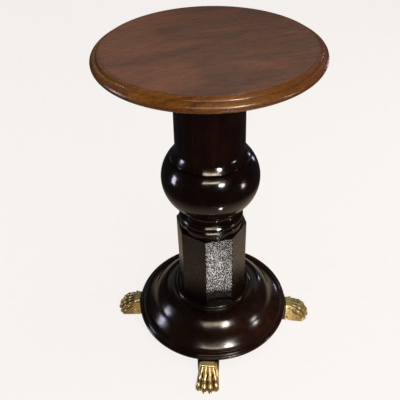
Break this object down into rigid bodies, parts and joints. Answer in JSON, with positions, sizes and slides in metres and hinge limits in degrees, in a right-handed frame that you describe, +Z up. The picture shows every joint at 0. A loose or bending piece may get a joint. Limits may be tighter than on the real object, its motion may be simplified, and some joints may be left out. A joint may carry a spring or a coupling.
{
  "type": "round pedestal table",
  "caption": "Small round side table: moulded round top on a turned and octagonal column, with a bell-shaped turned base and cast brass lion's-paw feet.",
  "frame": {"origin": "on the floor, under the axis of the column", "axes": "+Z up along the column's axis; the front paw points 3.65 degrees to the -X side of -Y; +X to the right"},
  "size_m": [0.499, 0.499, 0.737],
  "materials": {
    "polished_mahogany": "polished",
    "dark_polish": "high gloss",
    "plain_wood": "matt",
    "brass": "polished",
    "steel": "satin",
    "screw_steel": "darkened"
  },
  "bodies": {
    "root": {"table_top": "polished_mahogany", "top_plate": "plain_wood", "upper_shaft": "dark_polish", "bulb": "dark_polish", "neck_collar": "dark_polish", "octagon_column": "dark_polish", "base": "dark_polish", "cross_bar_long": "dark_polish", "cross_bar_lapped": "dark_polish", "tie_rod": "steel", "lower_nut": "steel", "lower_washer": "steel", "upper_nut": "steel", "upper_washer": "steel", "plate_screw_1": "steel", "plate_screw_2": "steel", "plate_screw_3": "steel", "plate_screw_4": "steel", "plate_screw_5": "steel", "plate_screw_6": "steel", "bar_screw_1_inner": "steel", "bar_screw_1_outer": "steel", "bar_screw_2_inner": "steel", "bar_screw_2_outer": "steel", "bar_screw_3_inner": "steel", "bar_screw_3_outer": "steel", "bar_screw_4_inner": "steel", "bar_screw_4_outer": "steel", "paw_front": "brass", "paw_right": "brass", "paw_back": "brass", "paw_left": "brass", "paw_screw_1_left": "screw_steel", "paw_screw_1_right": "screw_steel", "paw_screw_2_left": "screw_steel", "paw_screw_2_right": "screw_steel", "paw_screw_3_left": "screw_steel", "paw_screw_3_right": "screw_steel", "paw_screw_4_left": "screw_steel", "paw_screw_4_right": "screw_steel"}
  },
  "joints": []
}
